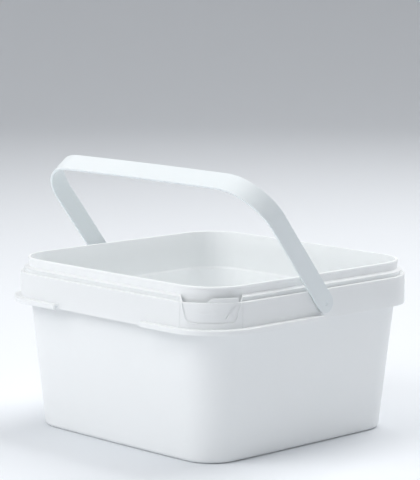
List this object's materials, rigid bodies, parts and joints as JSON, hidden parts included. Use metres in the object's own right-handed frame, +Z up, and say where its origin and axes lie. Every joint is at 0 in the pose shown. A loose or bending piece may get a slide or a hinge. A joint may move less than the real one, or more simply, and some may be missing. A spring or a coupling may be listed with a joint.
{
  "type": "plastic bucket",
  "caption": "Nearly square white plastic bucket with tapered body, snap rim, tamper-evident skirt with a tear-open corner tab, and a folding strap handle.",
  "frame": {"origin": "middle of the underside, on the plane that the bucket stands on", "axes": "+Z up, X along the handle's hinge axis, -Y towards the side that the handle folds down to; the tear tab is at the corner of +X and -Y"},
  "size_m": [0.2354, 0.2305, 0.2028],
  "materials": {
    "tub_plastic": "satin moulded white polypropylene",
    "handle_plastic": "satin moulded white polypropylene"
  },
  "bodies": {
    "tub": {"tub": "tub_plastic"},
    "handle": {"handle": "handle_plastic"},
    "tear_tab": {"tear_tab": "tub_plastic"}
  },
  "joints": [
    {"name": "handle_hinge", "type": "hinge", "parent": "tub", "child": "handle", "pos_m": [0, 0.0005, 0.1073], "axis": [-1, 0, 0], "range_deg": [-48.1, 150]},
    {"name": "tear_tab_hinge", "type": "hinge", "parent": "tub", "child": "tear_tab", "pos_m": [0.1019, -0.1019, 0.1033], "axis": [0.7071, 0.7071, 0], "range_deg": [0, 125]}
  ]
}
